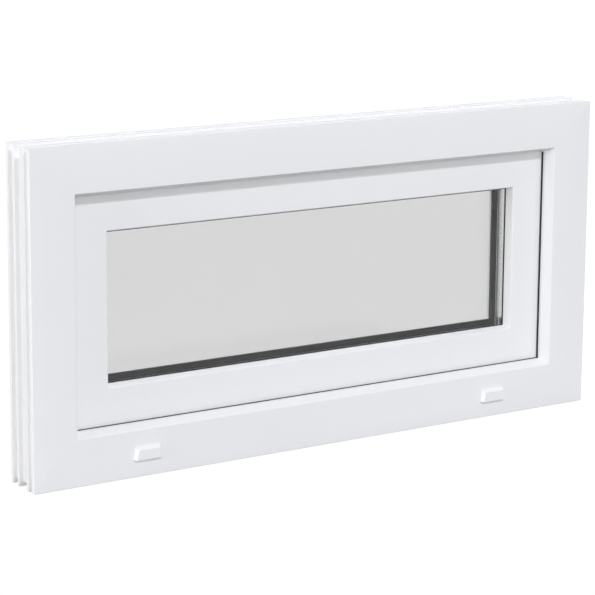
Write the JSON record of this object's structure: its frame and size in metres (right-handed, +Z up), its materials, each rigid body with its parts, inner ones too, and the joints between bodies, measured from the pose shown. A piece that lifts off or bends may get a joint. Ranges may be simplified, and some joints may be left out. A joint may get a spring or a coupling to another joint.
{
  "type": "basement window",
  "caption": "Wide, low white plastic basement window with one bottom-hung double-glazed sash, shut, with drain caps outside and a handle and hinges on the room side.",
  "frame": {"origin": "on the underside of the sill, at mid-width, on the foot that lies behind its front lip", "axes": "+X along the width, to the right seen from outside; +Y from the outside face into the room; +Z up"},
  "size_m": [0.8, 0.129, 0.4],
  "materials": {
    "white_pvc": "satin, smooth extruded",
    "white_cap": "satin, moulded",
    "gasket": "matt",
    "glass": "clear float",
    "spacer": "bright rolled",
    "edge_seal": "matt",
    "glazing_block": "matt",
    "handle_white": "satin powder coat",
    "hinge_white": "satin powder coat",
    "pin_steel": "zinc plated"
  },
  "bodies": {
    "root": {"frame_sill": "white_pvc", "frame_head": "white_pvc", "frame_jamb_left": "white_pvc", "frame_jamb_right": "white_pvc", "sash_bottom_rail": "white_pvc", "sash_top_rail": "white_pvc", "sash_stile_left": "white_pvc", "sash_stile_right": "white_pvc", "bead_bottom": "white_pvc", "bead_top": "white_pvc", "bead_left": "white_pvc", "bead_right": "white_pvc", "drain_cap_left": "white_cap", "drain_cap_right": "white_cap", "frame_gasket": "gasket", "sash_gasket": "gasket", "glazing_gasket_outer": "gasket", "glazing_gasket_inner": "gasket", "outer_pane": "glass", "inner_pane": "glass", "spacer_bar": "spacer", "edge_seal": "edge_seal", "glazing_block_left": "glazing_block", "glazing_block_right": "glazing_block", "handle_rose": "handle_white", "handle_lever": "handle_white", "hinge_frame_part_left": "hinge_white", "hinge_frame_part_right": "hinge_white", "hinge_sash_part_left": "hinge_white", "hinge_sash_part_right": "hinge_white", "hinge_pin_left": "pin_steel", "hinge_pin_right": "pin_steel"}
  },
  "joints": []
}
